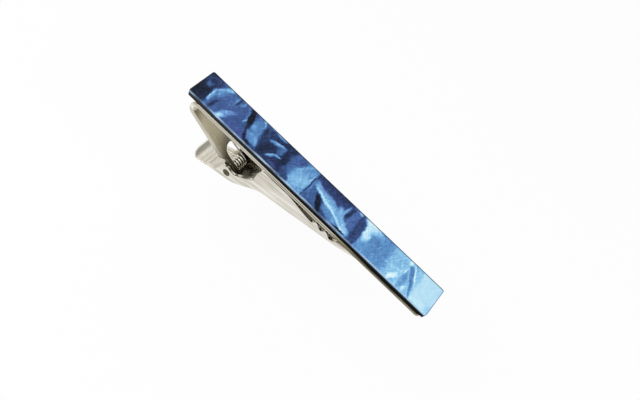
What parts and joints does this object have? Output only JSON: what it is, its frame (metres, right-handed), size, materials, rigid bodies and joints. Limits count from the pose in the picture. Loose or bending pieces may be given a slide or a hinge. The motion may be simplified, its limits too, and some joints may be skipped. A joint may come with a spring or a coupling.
{
  "type": "tie clip",
  "caption": "Sprung tie clip: a slim pearl-faced bar on a folded metal strip, with a pinned channel lever that a wire spring closes on the bar.",
  "frame": {"origin": "middle of the pearl face, on its surface", "axes": "+X along the bar from the folded tail to the open tip, +Y across the bar, +Z out of the pearl face"},
  "size_m": [0.055, 0.0066, 0.0148],
  "materials": {
    "pearl": "polished blue pearl",
    "backing": "satin black",
    "glue": "cured adhesive",
    "nickel_strip": "bright nickel plate",
    "nickel_lever": "bright nickel plate",
    "spring_steel": "drawn wire",
    "pin_steel": "plated, riveted ends"
  },
  "bodies": {
    "bar": {"pearl_face": "pearl", "black_backing": "backing", "glue_film": "glue", "bar_frame": "nickel_strip", "pivot_pin": "pin_steel", "torsion_spring": "spring_steel"},
    "lever": {"clip_lever": "nickel_lever"}
  },
  "joints": [
    {"name": "lever_hinge", "type": "hinge", "parent": "bar", "child": "lever", "pos_m": [-0.0145, 0, -0.01095], "axis": [0, 1, 0], "range_deg": [0, 48], "stiffness_Nm_per_rad": 0.02, "springref_deg": -57.3, "deforming": ["torsion_spring"]}
  ]
}
